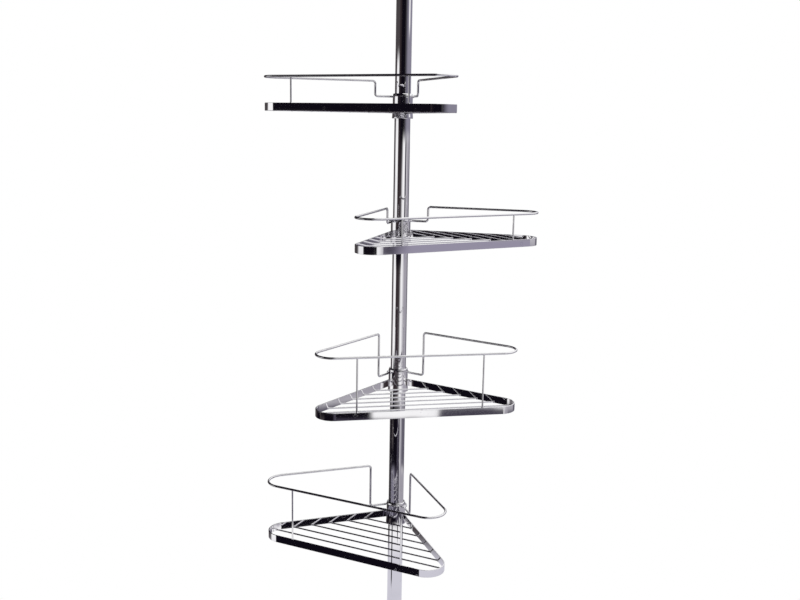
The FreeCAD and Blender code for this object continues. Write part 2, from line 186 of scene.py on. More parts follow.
# %% Hang the flags in the tent
tent = Sheet(bpy.data.worlds.new("light_tent"))
bpy.context.scene.world = tent.owner
DEGREES_IN_RADIAN = math.degrees(1.0)
outward = tent.node("SeparateXYZ", None, {0: tent.node("TexCoord", output="Generated")})
compass = tent.node("Math", {"operation": "ARCTAN2"}, {
    0: outward.other("X"), 1: 0.0 - outward.other("Y")}) * DEGREES_IN_RADIAN
height = tent.node("Math", {"operation": "ARCSINE"}, {0: outward.other("Z")}) * DEGREES_IN_RADIAN

INK = tone("0f0c15")
COAL = tone("352d30")
UMBER = tone("4b4648")
SLATE = tone("474350")
STEEL = tone("66636f")
LAVENDER = tone("8c8998")
PALE = tone("a6a3ac")
LILAC = tone("9a95a8")
CLOUD = tone("d3d2dc")
WHITE = tone("ffffff")
FLAGS = [
    # colour, left, right, bottom, top, side softness, end softness, right lean if any
    (PALE, 47, 240, -17, -6.4, 26, 1),          # the right wall, white only at its top
    (PALE, 80, 240, -6.6, -0.8, 5, 0.6),
    (LAVENDER, 30, 240, -0.9, 10, 2, 0.6),
    (WHITE, 76, 98, 5.2, 60, 4, 0.6),
    (STEEL, 124, 200, -27, -0.8, 6, 2),         # the outline flags, at the back
    (UMBER, -200, -106, -28, 40, 12, 2),
    (UMBER, -125, -108, 0, 40, 3, 1, 3),        # the left wall, with a white panel that ends above
    (UMBER, -128, -48, 3.9, 60, 3, 0.7),
    (COAL, -60, -20, -17, 60, 5, 1),            # behind the camera, from coal to ink to white
    (COAL, -32, 8, -17, 60, 19, 1),
    (INK, -32, 10, -2.0, 60, 14, 1.6),
    (INK, -20, 48, -0.9, 40, 28, 0.5),
    (INK, -61, -38, 0, 2.2, 1, 0.6),
    (SLATE, 48, 73, -6.6, -0.9, 7, 0.6),
    (INK, -124, 40, -23.7, -16.8, 3, 0.5),      # the black apron under the camera
    (STEEL, 60, 240, -20.7, -16.8, 20, 0.5),
    (PALE, 46, 72, -23.7, -16.8, 8, 0.5),
    (UMBER, -90, -58, -19.3, -16.8, 6, 0.6),
    (SLATE, 2, 36, -20.7, -16.8, 8, 0.5),
    (LAVENDER, -86, -32, -23.6, -20.7, 5, 0.4),
    (SLATE, -32, 44, -23.6, -20.7, 5, 0.4),
    (PALE, 56, 240, -23.7, -20.7, 8, 0.4),
    (CLOUD, -182, 182, -91, -25.2, 1, 1.2),     # the pale floor of the tent
    (INK, -63, -46, -27.2, -23, 1.5, 0.3),
    (INK, 27, 40, -24.6, -22.4, 2, 0.5),
    (INK, 15, 20.5, -17.9, -16.6, 0.4, 0.4),    # small cards for the two middle shelves
    (WHITE, 20.5, 24.7, -17.9, -16.6, 0.3, 0.4),
    (SLATE, 24.7, 28.2, -17.9, -16.6, 0.3, 0.4),
    (LILAC, 56.6, 72, -8.2, -6.5, 0.4, 0.4),
    (SLATE, 56.6, 58.0, -8.2, -6.5, 0.8, 0.4),
    (INK, -66, 16, -8.6, -6.2, 1.5, 0.6),
    (INK, -84, -50, -17.8, -14.0, 3, 0.8),
    (INK, -200, -8, 9, 91, 8, 3),               # the roof, dark on the left only
    (INK, -126, -14, -91, -29.5, 8, 1.2),       # the apron and the outline flags, once more below
    (UMBER, -200, -128, -91, -29.5, 8, 1.2),
    (STEEL, 112, 200, -91, -29.5, 12, 1.2),
    (LAVENDER, 62, 92, -91, -29.5, 8, 1.2),
]
cloth = WHITE
for colour, left, right, bottom, top, soft, fade, *lean in FLAGS:
    right_edge = height * lean[0] + right if lean else right
    inside = tent.between(compass, left, right_edge, soft) * tent.between(height, bottom, top, fade)
    cloth = tent.blended(inside, cloth, colour)

ray = tent.node("LightPath")
PLAIN_LIGHT = (0.78, 0.78, 0.78, 1.0)
seen = tent.blended(ray.other("Is Glossy Ray"), PLAIN_LIGHT, cloth)
seen = tent.blended(ray.other("Is Camera Ray"), seen, WHITE)
seen = tent.blended(ray.other("Is Transmission Ray"), seen, WHITE)
glow = tent.node("Background", None, {"Color": seen, "Strength": 1.0})
tent.node("OutputWorld", None, {"Surface": glow})
print("flags in the tent", len(FLAGS))

# %% [markdown]
# ## The floor and the lamps
# The floor is one pale sheet that runs out of sight. Close to the foot it is a real lit surface, so
# that it keeps the object's soft shadow, and further out it turns into plain white, so that there is
# no horizon. Three broad lamps shape the dull pieces. They stay out of the chrome, where they would
# be small hard squares.

# %% Lay the floor
FLOOR_HALF = 12.0
FLOOR_CELLS = 24
floor_mesh = bmesh.new()
bmesh.ops.create_grid(floor_mesh, x_segments=FLOOR_CELLS, y_segments=FLOOR_CELLS, size=FLOOR_HALF)
floor_data = bpy.data.meshes.new("floor")
floor_mesh.to_mesh(floor_data)
floor_mesh.free()
floor = bpy.data.objects.new("floor", floor_data)
bpy.context.scene.collection.objects.link(floor)
floor.visible_glossy = False

PAPER_GREY = (0.90, 0.90, 0.91, 1.0)
PAPER_PALE = (0.94, 0.94, 0.94, 1.0)
PAPER_CLOUDS = (9.0, 9.0, 9.0)
LIT_REACH = 0.42
LIT_FADE = 0.20
LIT_SHARE = 0.75
paper = Sheet(bpy.data.materials.new("studio_paper"))
spot = paper.node("TexCoord", output="Object")
reach = paper.node("VectorMath", {"operation": "LENGTH"}, {0: spot}, output="Value")
mottled = paper.noise(spot, PAPER_CLOUDS, 4.0)
lit = paper.node("BsdfDiffuse", None, {"Color": paper.blended(mottled, PAPER_GREY, PAPER_PALE)})
plain_white = paper.node("Emission", None, {"Color": WHITE, "Strength": 1.0})
paper_ray = paper.node("LightPath")
looked_at = paper_ray.other("Is Camera Ray") + paper_ray.other("Is Transmission Ray")
near_foot = 1.0 - paper.crossing(reach, LIT_REACH, LIT_FADE)
paper.node("OutputMaterial", None, {"Surface": paper.node("MixShader", None, {
    0: looked_at * (1.0 - near_foot * LIT_SHARE), 1: lit, 2: plain_white})})
floor_data.materials.append(paper.owner)
print("floor", floor.dimensions.to_tuple())

# %% Hang the lamps
LAMPS = [
    # name, place, width in metres, power in watts
    ("lamp_left", (-1.7, -1.6, 2.5), 1.4, 22.0),
    ("lamp_right", (1.9, -1.2, 1.6), 1.2, 10.0),
    ("lamp_behind", (0.6, 1.9, 2.2), 1.2, 12.0),
]
middle = Vector((0.0, 0.0, 0.9))
for name, place, size, power in LAMPS:
    lamp_data = bpy.data.lights.new(name, "AREA")
    lamp_data.size = size
    lamp_data.energy = power
    lamp = bpy.data.objects.new(name, lamp_data)
    lamp.location = place
    lamp.rotation_euler = (middle - Vector(place)).to_track_quat("-Z", "Y").to_euler()
    lamp.visible_glossy = False
    bpy.context.scene.collection.objects.link(lamp)
    print(name, "distance", round((middle - Vector(place)).length, 2))

bpy.context.scene.view_settings.view_transform = "Standard"

# %% [markdown]
# ## Chrome plate
# The tube, the strip, the wire and the sleeves are steel with bright nickel and a very thin layer of
# chrome. The plate is almost a mirror, but what lies under it still shows: fine lines left by the
# drawing die or the rolls, and a slow wave from polishing. On top come a thin haze from hands, and
# the rings that dried water drops leave in a bathroom. Each of these is one pattern, and together
# they change only the roughness, a little of the colour, and the bump.
# The finish is one function, because the four chromed parts differ only in the direction of their
# lines and in how much they have been handled.

# %% Write the chrome finish
PLATE = tone("f4f3f5")
DULL_PLATE = tone("dedde1")
POLISH_WAVES = (26.0, 26.0, 14.0)
HAZE_PATCHES = (11.0, 11.0, 17.0)
HAZE_EDGE, HAZE_SOFT = 0.60, 0.14
DROP_CELLS = 130.0  # in a metre; one cell in seven holds the ring of a dried drop
DRIED_EDGE, DRIED_SOFT = 0.86, 0.02
RING_IN, RING_OUT, RING_SOFT = 0.24, 0.34, 0.035
POLISHED_ROUGH = 0.012
LINE_ROUGH = 0.024
HAZE_ROUGH = 0.035
RING_ROUGH = 0.06
LINE_RELIEF = 0.004
RING_RELIEF = 0.01
PLATE_DEPTH = 0.0001


def chrome(name, lines, wave, handled):
    """Chrome plate: lines is how many fine lines fit in a metre along x, y and z."""
    sheet = Sheet(bpy.data.materials.new(name))
    place = sheet.node("TexCoord", output="Object")
    drawn = sheet.noise(place, lines, 3.0)
    polished = sheet.noise(place, POLISH_WAVES, 1.0)
    haze = sheet.crossing(sheet.noise(place, HAZE_PATCHES, 4.0), HAZE_EDGE, HAZE_SOFT)
    cells = sheet.node("TexVoronoi", {"feature": "F1"}, {
        "Vector": place, "Scale": DROP_CELLS, "Randomness": 1.0})
    chance = sheet.node("SeparateXYZ", None, {0: cells.other("Color")})
    dried = sheet.crossing(chance, DRIED_EDGE, DRIED_SOFT)
    ring = sheet.between(cells, RING_IN, RING_OUT, RING_SOFT) * dried
    bright = sheet.blended(haze * 0.5 + ring * 0.5, PLATE, DULL_PLATE)
    rough = (POLISHED_ROUGH + drawn * LINE_ROUGH
             + haze * (HAZE_ROUGH * handled) + ring * (RING_ROUGH * handled))
    relief = polished * wave + drawn * LINE_RELIEF + ring * RING_RELIEF
    bumped = sheet.node("Bump", None, {"Strength": 1.0, "Distance": PLATE_DEPTH, "Height": relief})
    skin = sheet.node("BsdfPrincipled", None, {
        "Base Color": bright, "Metallic": 1.0, "Roughness": rough, "Normal": bumped})
    sheet.node("OutputMaterial", None, {"Surface": skin})
    return sheet.owner


tube_chrome = chrome("tube_chrome_finish", (2600.0, 2600.0, 9.0), 1.2, 1.0)
strip_chrome = chrome("strip_chrome_finish", (35.0, 35.0, 3200.0), 0.8, 0.8)
wire_chrome = chrome("wire_chrome_finish", (900.0, 900.0, 900.0), 0.5, 0.6)
sleeve_chrome = chrome("sleeve_chrome_finish", (1900.0, 1900.0, 60.0), 0.7, 1.0)
print("chrome finishes", [m.name for m in (tube_chrome, strip_chrome, wire_chrome, sleeve_chrome)])

# %% [markdown]
# ## Bare steel
# The hidden coupler, the sprung stem and the spring are not polished. A turned stem keeps the fine
# rings of the lathe tool, a drawn tube keeps lines along it, and a spring is dull zinc over drawn
# wire with small darker flecks. One function again covers all three.

# %% Write the steel finish
FLECK_PATCHES = (160.0, 160.0, 160.0)
FLECK_EDGE, FLECK_SOFT = 0.62, 0.08
FLECK_ROUGH = 0.12
FLECK_RELIEF = 0.4
TOOL_ROUGH = 0.14
TOOL_DEPTH = 0.00004


def bare_steel(name, pale, dark, lines, roughness):
    """Turned or drawn steel with tool lines and darker flecks."""
    sheet = Sheet(bpy.data.materials.new(name))
    place = sheet.node("TexCoord", output="Object")
    tooled = sheet.noise(place, lines, 3.0)
    flecks = sheet.crossing(sheet.noise(place, FLECK_PATCHES, 4.0), FLECK_EDGE, FLECK_SOFT)
    colour = sheet.blended(tooled * 0.5 + flecks * 0.5, pale, dark)
    relief = tooled + flecks * FLECK_RELIEF
    bumped = sheet.node("Bump", None, {"Strength": 1.0, "Distance": TOOL_DEPTH, "Height": relief})
    rough = roughness + tooled * TOOL_ROUGH + flecks * FLECK_ROUGH
    skin = sheet.node("BsdfPrincipled", None, {
        "Base Color": colour, "Metallic": 1.0, "Roughness": rough, "Normal": bumped})
    sheet.node("OutputMaterial", None, {"Surface": skin})
    return sheet.owner


coupler_steel = bare_steel("coupler_steel_finish", tone("bcbdc0"), tone("85868a"),
                           (2200.0, 2200.0, 12.0), 0.26)
plunger_steel = bare_steel("plunger_steel_finish", tone("cfd0d3"), tone("96979b"),
                           (25.0, 25.0, 3600.0), 0.22)
spring_steel = bare_steel("spring_steel_finish", tone("b4b7bb"), tone("777a80"),
                          (700.0, 700.0, 700.0), 0.30)
print("steel finishes", [m.name for m in (coupler_steel, plunger_steel, spring_steel)])

# %% [markdown]
# ## Moulded plastic and rubber
# The cups, the collar and the ferrule are grey plastic from a mould with a fine sparked grain. Edges
# that are touched get smoother, and dust settles in the grain. The bushes are plain slippery nylon.
# The pads are rubber: dark, dull, with a fine grain and pale dust.

# %% Write the moulded finish
CLOUD_PATCHES = (38.0, 38.0, 38.0)
DUST_PATCHES = (420.0, 420.0, 420.0)
DUST_EDGE, DUST_SOFT = 0.66, 0.06
SCUFF_PATCHES = (60.0, 60.0, 900.0)
SCUFF_EDGE, SCUFF_SOFT = 0.68, 0.05


def moulded(name, body, worn, grain, depth, roughness, shine):
    """Plastic or rubber: grain is how many grains fit in a metre, depth their height in metres."""
    sheet = Sheet(bpy.data.materials.new(name))
    place = sheet.node("TexCoord", output="Object")
    grains = sheet.noise(place, (grain, grain, grain), 2.0)
    clouds = sheet.noise(place, CLOUD_PATCHES, 5.0)
    dust = sheet.crossing(sheet.noise(place, DUST_PATCHES, 3.0), DUST_EDGE, DUST_SOFT)
    scuffs = sheet.crossing(sheet.noise(place, SCUFF_PATCHES, 3.0), SCUFF_EDGE, SCUFF_SOFT)
    colour = sheet.blended(clouds * 0.55 + dust * 0.3 + scuffs * 0.25, body, worn)
    relief = grains + dust * 0.3 - scuffs * 0.4
    bumped = sheet.node("Bump", None, {"Strength": 1.0, "Distance": depth, "Height": relief})
    rough = roughness + grains * 0.10 + dust * 0.12 - scuffs * 0.08
    skin = sheet.node("BsdfPrincipled", None, {
        "Base Color": colour, "Metallic": 0.0, "Specular IOR Level": shine,
        "Roughness": rough, "Normal": bumped})
    sheet.node("OutputMaterial", None, {"Surface": skin})
    return sheet.owner


grey_plastic = moulded("grey_plastic_finish", tone("7b7d82"), tone("94969b"), 2600.0, 0.00004, 0.38, 0.5)
bush_plastic = moulded("bush_plastic_finish", tone("d8d5cb"), tone("c6c1b4"), 1800.0, 0.00002, 0.34, 0.5)
wedge_plastic = moulded("wedge_plastic_finish", tone("c9ccd0"), tone("b4b7bb"), 2000.0, 0.00002, 0.36, 0.5)
pad_rubber = moulded("pad_rubber_finish", tone("26272a"), tone("4a4b4e"), 1500.0, 0.00008, 0.70, 0.35)
print("moulded finishes", [m.name for m in (grey_plastic, bush_plastic, wedge_plastic, pad_rubber)])

# %% [markdown]
# ## Tools for making pieces
# Almost every piece here is made in one of two ways on the real object, and in the same two ways
# here. A tube, a cup or a pad is round about the pole, so an outline of radius and height is turned
# about the upright axis. A wire or a strip is one section carried along a bent line. Both are
# written as plain mesh code: a tube from a menu has no rolled edge, and its ends can't be shaped.
# Sizes are in millimetres, as on a maker's drawing, and become metres when the piece is finished.
# Edges sharper than 35 degrees stay crisp. The weighted normals keep the wide faces truly flat next
# to their small rounded edges, which matters for a mirror finish.

# %% Finish a mesh as a piece
MM = 0.001
CRISP = math.radians(35.0)


def make_piece(name, mesh, finish, slot, body, *nodes):
    """Turn a mesh in millimetres into a piece that rides on a body and stands for CAD nodes."""
    bmesh.ops.recalc_face_normals(mesh, faces=mesh.faces)
    bmesh.ops.scale(mesh, vec=(MM, MM, MM), verts=mesh.verts)
    for face in mesh.faces:
        face.smooth = True
    for edge in mesh.edges:
        edge.smooth = edge.calc_face_angle(0.0) < CRISP
    data = bpy.data.meshes.new(name)
    mesh.to_mesh(data)
    mesh.free()
    data.materials.append(finish)
    piece = bpy.data.objects.new(name, data)
    bpy.context.scene.collection.objects.link(piece)
    weighted = piece.modifiers.new("flat faces stay flat", "WEIGHTED_NORMAL")
    weighted.keep_sharp = True
    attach(piece, body)
    if nodes:
        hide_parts(*nodes)
    print(name, len(data.vertices), "vertices")
    return piece


# %% Turn an outline about the pole's axis
ON_AXIS = 1e-6


def rounded(centre_r, centre_z, bend, first, last, steps=5):
    """Points of a rounding on an outline, from one angle to another in degrees."""
    angles = [math.radians(first + (last - first) * i / steps) for i in range(steps + 1)]
    return [(centre_r + bend * math.cos(a), centre_z + bend * math.sin(a)) for a in angles]


def turned(outline, steps=128, swell=None):
    """Closed outline of (radius, height) points turned about the axis; swell may change a radius."""
    mesh = bmesh.new()
    rings = []
    for outer, z in outline:
        if outer < ON_AXIS:
            rings.append([mesh.verts.new((0.0, 0.0, z))] * steps)
            continue
        ring = []
        for i in range(steps):
            angle = 2.0 * math.pi * i / steps
            r = outer + (swell(angle, outer, z) if swell else 0.0)
            ring.append(mesh.verts.new((r * math.cos(angle), r * math.sin(angle), z)))
        rings.append(ring)
    for lower, upper in zip(rings, rings[1:] + rings[:1]):
        for i in range(steps):
            j = (i + 1) % steps
            corners = list(dict.fromkeys((lower[i], lower[j], upper[j], upper[i])))
            if len(corners) > 2:
                mesh.faces.new(corners)
    return mesh


# %% Draw a line with rounded bends
BEND_STEP = 5.0
SAME_PLACE = 0.01


def bent_line(corners, bends, closed):
    """Points of a line through the corners, each rounded to its own bend radius."""
    points = []
    count = len(corners)
    for i, corner in enumerate(corners):
        if bends[i] == 0.0:
            points.append(corner)
            continue
        before = (corners[i - 1] - corner).normalized()
        after = (corners[(i + 1) % count] - corner).normalized()
        inside = before.angle(after)
        reach = bends[i] / math.tan(inside / 2)
        centre = corner + (before + after).normalized() * (bends[i] / math.sin(inside / 2))
        start = corner + before * reach - centre
        axis = start.cross(corner + after * reach - centre).normalized()
        sweep = math.pi - inside
        steps = max(4, round(math.degrees(sweep) / BEND_STEP))
        for step in range(steps + 1):
            points.append(centre + Matrix.Rotation(sweep * step / steps, 3, axis) @ start)
    joined = [points[0]]
    for point in points[1:]:
        if (point - joined[-1]).length > SAME_PLACE:
            joined.append(point)
    if closed and (joined[0] - joined[-1]).length < SAME_PLACE:
        joined.pop()
    return joined


# %% Carry a round section along a line
def wire(mesh, points, thick, closed=False, sides=20):
    """Round wire along a line; thick is its radius, as one number or one for each point."""
    count = len(points)
    radii = thick if isinstance(thick, list) else [thick] * count
    headings = []
    for i in range(count):
        ahead = points[(i + 1) % count] if closed or i + 1 < count else points[i]
        behind = points[i - 1] if closed or i > 0 else points[i]
        headings.append((ahead - behind).normalized())
    start = headings[0].orthogonal().normalized()
    sideways = [start]
    for i in range(1, count):
        turn = headings[i - 1].rotation_difference(headings[i])
        sideways.append((turn @ sideways[-1]).normalized())
    twist = 0.0
    if closed:
        back = headings[-1].rotation_difference(headings[0]) @ sideways[-1]
        twist = math.atan2(back.cross(start).dot(headings[0]), back.dot(start))
    rings = []
    for i in range(count):
        across = Matrix.Rotation(twist * i / count, 3, headings[i]) @ sideways[i]
        second = headings[i].cross(across)
        rings.append([mesh.verts.new(points[i] + radii[i] * (
            across * math.cos(2 * math.pi * k / sides) + second * math.sin(2 * math.pi * k / sides)))
            for k in range(sides)])
    for i in range(count if closed else count - 1):
        this, following = rings[i], rings[(i + 1) % count]
        for k in range(sides):
            mesh.faces.new((this[k], this[(k + 1) % sides],
                            following[(k + 1) % sides], following[k]))
    if not closed:
        mesh.faces.new(rings[0])
        mesh.faces.new(rings[-1])


print("tools ready")

# %% [markdown]
# ## The pole's tubes
# Three chromed tubes make the pole: two thick ones end to end, and a thinner one that slides in the
# upper one. A saw leaves a sharp edge that is then tumbled round, so each end gets a small rounding,
# which catches a thin line of light at every joint. The tube is turned with 160 steps round, because
# a mirror shows every flat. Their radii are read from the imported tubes, and their walls are 0.8 mm.

# %% Turn the three tubes
def radius(node):
    """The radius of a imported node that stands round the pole's axis, in millimetres."""
    low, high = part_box(node)
    return (high.x - low.x) / 2 / MM


def level(node, corner):
    """The lowest (0) or highest (1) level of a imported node, in millimetres."""
    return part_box(node)[corner].z / MM


TUBE_WALL = 0.8
POLE_R = radius("lower_tube")
POLE_BORE = POLE_R - TUBE_WALL
INNER_R = radius("inner_tube")
INNER_BORE = INNER_R - TUBE_WALL
EDGE = 0.2
print("tube radii", round(POLE_R, 3), round(INNER_R, 3))


def tube_outline(outer, bore, bottom, top):
    """A tube's wall, with its four end edges rounded."""
    return (rounded(outer - EDGE, bottom + EDGE, EDGE, -90, 0, 3)
            + rounded(outer - EDGE, top - EDGE, EDGE, 0, 90, 3)
            + rounded(bore + EDGE, top - EDGE, EDGE, 90, 180, 3)
            + rounded(bore + EDGE, bottom + EDGE, EDGE, 180, 270, 3))


for node, body, outer, bore in (("lower_tube", "pole", POLE_R, POLE_BORE),
                                ("upper_tube", "pole", POLE_R, POLE_BORE),
                                ("inner_tube", "inner_pole", INNER_R, INNER_BORE)):
    make_piece("chromed_" + node, turned(tube_outline(outer, bore, level(node, 0), level(node, 1)), 160),
               tube_chrome, "tube_chrome", body, node)

# %% [markdown]
# ## Foot and ceiling ends
# Each end is a rubber pad pegged into a plastic cup that holds the tube. The cup is a turned shape
# with a soft shoulder, and its wall thins towards the tube. The pad has grip rings in the face that
# meets the floor or the ceiling: they are cut into the outline, so they are real grooves. The
# ceiling end is the same pair of outlines turned upside down.

# %% Turn the cups and the pads
PAD_R = 23.0
PAD_THICK = 7.0
PAD_EDGE = 1.2
GRIP_RINGS = (8.0, 13.0, 18.0)
GRIP_DEEP = 0.8
PEG_R = 4.5
CUP_R = 20.5
CUP_FLOOR = 5.0
CUP_WALL = 2.3
CUP_EDGE = 1.0
CUP_SHOULDER = 1.6
BEAD = 1.5
BEAD_TALL = 3.0
TAPER_LEVELS = (0.08, 0.2, 0.35, 0.5, 0.65, 0.8, 0.92)


def pad_outline():
    """Rubber disc with three grip rings in its face, a groove in its side and a peg on its back."""
    points = [(0.0, 0.0)]
    for ring_r in GRIP_RINGS:
        points += [(ring_r - 0.9, 0.0), (ring_r - 0.6, GRIP_DEEP),
                   (ring_r + 0.6, GRIP_DEEP), (ring_r + 0.9, 0.0)]
    points += rounded(PAD_R - PAD_EDGE, PAD_EDGE, PAD_EDGE, -90, 0)
    points += [(PAD_R, 3.1), (PAD_R - 0.4, 3.3), (PAD_R - 0.4, 3.7), (PAD_R, 3.9)]
    points += rounded(PAD_R - PAD_EDGE, PAD_THICK - PAD_EDGE, PAD_EDGE, 0, 90)
    return points + [(PEG_R, PAD_THICK), (PEG_R, PAD_THICK + CUP_FLOOR), (0.0, PAD_THICK + CUP_FLOOR)]


def cup_outline(stem_r, tall):
    """Tapered cup with a soft shoulder and a bead round its mouth."""
    base, top = PAD_THICK, PAD_THICK + tall
    inside = base + CUP_FLOOR
    neck = stem_r + CUP_WALL
    taper = [(neck + BEAD + (CUP_R - neck - 2 * BEAD) * (1 - share) ** 1.25,
              base + 6.2 + (tall - 9.2) * share) for share in TAPER_LEVELS]
    return ([(PEG_R, base)] + rounded(CUP_R - CUP_EDGE, base + CUP_EDGE, CUP_EDGE, -90, 0)
            + rounded(CUP_R - CUP_SHOULDER, base + 4.6, CUP_SHOULDER, 0, 62)
            + taper + [(neck + BEAD, top - BEAD_TALL)] + rounded(neck + 0.3, top - 1.2, 1.2, 0, 90)
            + [(stem_r + 0.5, top), (stem_r, top - 0.5), (stem_r, inside), (PEG_R, inside)])


def upside_down(outline, total):
    """The same outline hanging from a ceiling at the total height."""
    return [(r, total - z) for r, z in outline]


TOTAL = level("ceiling_pad", 1)
CUP_TALL = level("foot_cup", 1) - PAD_THICK
TOP_CUP_TALL = level("ceiling_cup", 1) - level("ceiling_cup", 0)
BUSH_WALL = 2.15
RUNNING = 0.05
PLUNGER_R = INNER_BORE - BUSH_WALL - RUNNING
make_piece("rubber_foot_pad", turned(pad_outline()), pad_rubber, "pad_rubber", "pole", "foot_pad")
make_piece("moulded_foot_cup", turned(cup_outline(POLE_R, CUP_TALL)), grey_plastic, "grey_plastic",
           "pole", "foot_cup")
make_piece("rubber_ceiling_pad", turned(upside_down(pad_outline(), TOTAL)), pad_rubber, "pad_rubber",
           "top_plunger", "ceiling_pad")
make_piece("moulded_ceiling_cup", turned(upside_down(cup_outline(PLUNGER_R, TOP_CUP_TALL), TOTAL)),
           grey_plastic, "grey_plastic", "top_plunger", "ceiling_cup")

# %% [markdown]
# ## The sprung stem
# A spring inside the inner tube pushes a hollow steel stem up against the ceiling. Only the stem and
# the head of its guide bush show. Both are lathe work on the real object too.

# %% Turn the stem and its bush
PLUNGER_WALL = 1.5
PLUNGER_BORE = PLUNGER_R - PLUNGER_WALL
FLANGE_R = INNER_BORE - 0.08
FLANGE_TALL = 6.0
FLANGE_EDGE = 0.4
BUSH_BORE = PLUNGER_R + RUNNING
BUSH_HEAD_R = INNER_R + 1.2
BUSH_HEAD = 3.0
BUSH_EDGE = 1.0
stem_bottom, stem_top = level("plunger", 0), level("plunger", 1)
flange_top = stem_bottom + FLANGE_TALL
stem = [(0.0, stem_bottom), (FLANGE_R - FLANGE_EDGE, stem_bottom), (FLANGE_R, stem_bottom + FLANGE_EDGE),
        (FLANGE_R, flange_top), (PLUNGER_R, flange_top), (PLUNGER_R, stem_top),
        (PLUNGER_BORE, stem_top), (PLUNGER_BORE, flange_top), (0.0, flange_top)]
make_piece("turned_plunger", turned(stem, 96), plunger_steel, "plunger_steel", "top_plunger", "plunger")

bush_bottom, bush_top = level("plunger_bush", 0), level("plunger_bush", 1)
mouth = bush_top - BUSH_HEAD
bush = ([(BUSH_BORE, bush_bottom), (INNER_BORE, bush_bottom), (INNER_BORE, mouth), (BUSH_HEAD_R, mouth)]
        + rounded(BUSH_HEAD_R - BUSH_EDGE, bush_top - BUSH_EDGE, BUSH_EDGE, 0, 90)
        + [(BUSH_BORE + 0.5, bush_top), (BUSH_BORE, bush_top - 0.5)])
make_piece("nylon_plunger_bush", turned(bush, 96), bush_plastic, "bush_plastic", "inner_pole", "plunger_bush")

# %% [markdown]
# ## The spring
# The spring is coiled from drawn wire. Its end turns are wound close and ground flat, so that it
# stands straight on its seat and pushes evenly on the stem. The wire is carried along a helix whose
# climb opens after one turn, and the two ground faces are made by holding the points between two
# levels.

# %% Coil the spring
SPRING_WIRE = 1.8
SPRING_TURNS = 11
TURN_STEPS = 32
OPENS_OVER = 0.5
CLOSE_CLIMB = (SPRING_WIRE + 0.05) / TURN_STEPS
spring_bottom, spring_top = level("plunger_spring", 0), level("plunger_spring", 1)
coil_r = radius("plunger_spring") - SPRING_WIRE / 2


def spring_mesh():
    """Coiled wire with a closed turn at each end, both ground flat."""
    steps = SPRING_TURNS * TURN_STEPS
    from_end = [min(i, steps - i) / TURN_STEPS for i in range(steps)]
    opened = [max(0.0, min(1.0, (turns - 1) / OPENS_OVER)) for turns in from_end]
    extra = (spring_top - spring_bottom - CLOSE_CLIMB * steps) / sum(opened)
    points = []
    z = spring_bottom
    for i in range(steps + 1):
        angle = 2 * math.pi * i / TURN_STEPS
        points.append(Vector((coil_r * math.cos(angle), coil_r * math.sin(angle), z)))
        if i < steps:
            z += CLOSE_CLIMB + extra * opened[i]
    mesh = bmesh.new()
    wire(mesh, points, SPRING_WIRE / 2, sides=16)
    for vertex in mesh.verts:
        vertex.co.z = min(spring_top, max(spring_bottom, vertex.co.z))
    return mesh


spring = make_piece("coiled_plunger_spring", spring_mesh(), spring_steel, "spring_steel", "inner_pole",
                    "plunger_spring")
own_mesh(spring)
print("spring", round(spring_top - spring_bottom, 1), "mm long, coil radius", round(coil_r, 2))

# %% [markdown]
# ## The lock collar
# A half turn of this collar squeezes the ferrule's fingers on the inner tube. Wet hands need grip, so
# its side has twenty scooped flutes. They are made by pulling the radius in along each flute while
# the outline is turned, deepest in the middle of the grip and running out softly at both ends,
# which a cut with round bars would not do.

# %% Turn the fluted collar
FLUTES = 20
FLUTE_DEPTH = 0.9
FLUTE_END = 2.5
GRIP_STEPS = 24
COLLAR_R = radius("lock_collar")
COLLAR_EDGE = 1.0
COLLAR_BEND = 3.2
THREAD_R = COLLAR_R - 3.1
CONE_R = POLE_R + 0.9
collar_bottom, collar_top = level("lock_collar", 0), level("lock_collar", 1)
grip_low, grip_high = collar_bottom + FLUTE_END, collar_top - 6.0
finger_low, finger_high = collar_top - 17.3, collar_top - 3.0


def flute(angle, r, z):
    """How far a flute pulls the collar's side in at an angle and level."""
    if r < COLLAR_R - 0.5 or not grip_low < z < grip_high:
        return 0.0
    along = min(1.0, (z - grip_low) / FLUTE_END, (grip_high - z) / FLUTE_END)
    across = max(0.0, math.cos(FLUTES * angle)) ** 0.7
    return -FLUTE_DEPTH * across * math.sin(along * math.pi / 2)


grip_levels = [grip_low + (grip_high - grip_low) * i / GRIP_STEPS for i in range(GRIP_STEPS + 1)]
collar = ([(THREAD_R, collar_bottom)]
          + rounded(COLLAR_R - COLLAR_EDGE, collar_bottom + COLLAR_EDGE, COLLAR_EDGE, -90, 0)
          + [(COLLAR_R, z) for z in grip_levels]
          + rounded(COLLAR_R - COLLAR_BEND, collar_top - 4.0, COLLAR_BEND, 0, 60)
          + rounded(INNER_R + 2.6, collar_top - 1.2, 1.2, 50, 90)
          + [(INNER_R + 1.0, collar_top), (INNER_R + 0.5, collar_top - 0.5), (INNER_R + 0.5, finger_high),
             (CONE_R - 1.2, finger_high), (CONE_R, finger_low), (THREAD_R, finger_low - 0.7)])
make_piece("fluted_lock_collar", turned(collar, 320, flute), grey_plastic, "grey_plastic",
           "lock_collar_body", "lock_collar")

# %% [markdown]
# ## The shelf's plan
# A shelf has a straight front, two round corners, and sides that run back at 45 degrees to the
# sleeve on the pole. One line, the middle of the strip's thickness, carries the rim, and the guard
# rail repeats it higher up. The line is drawn once, for a shelf with its front towards -Y, and every
# shelf piece is built round it and then turned and lifted into place.

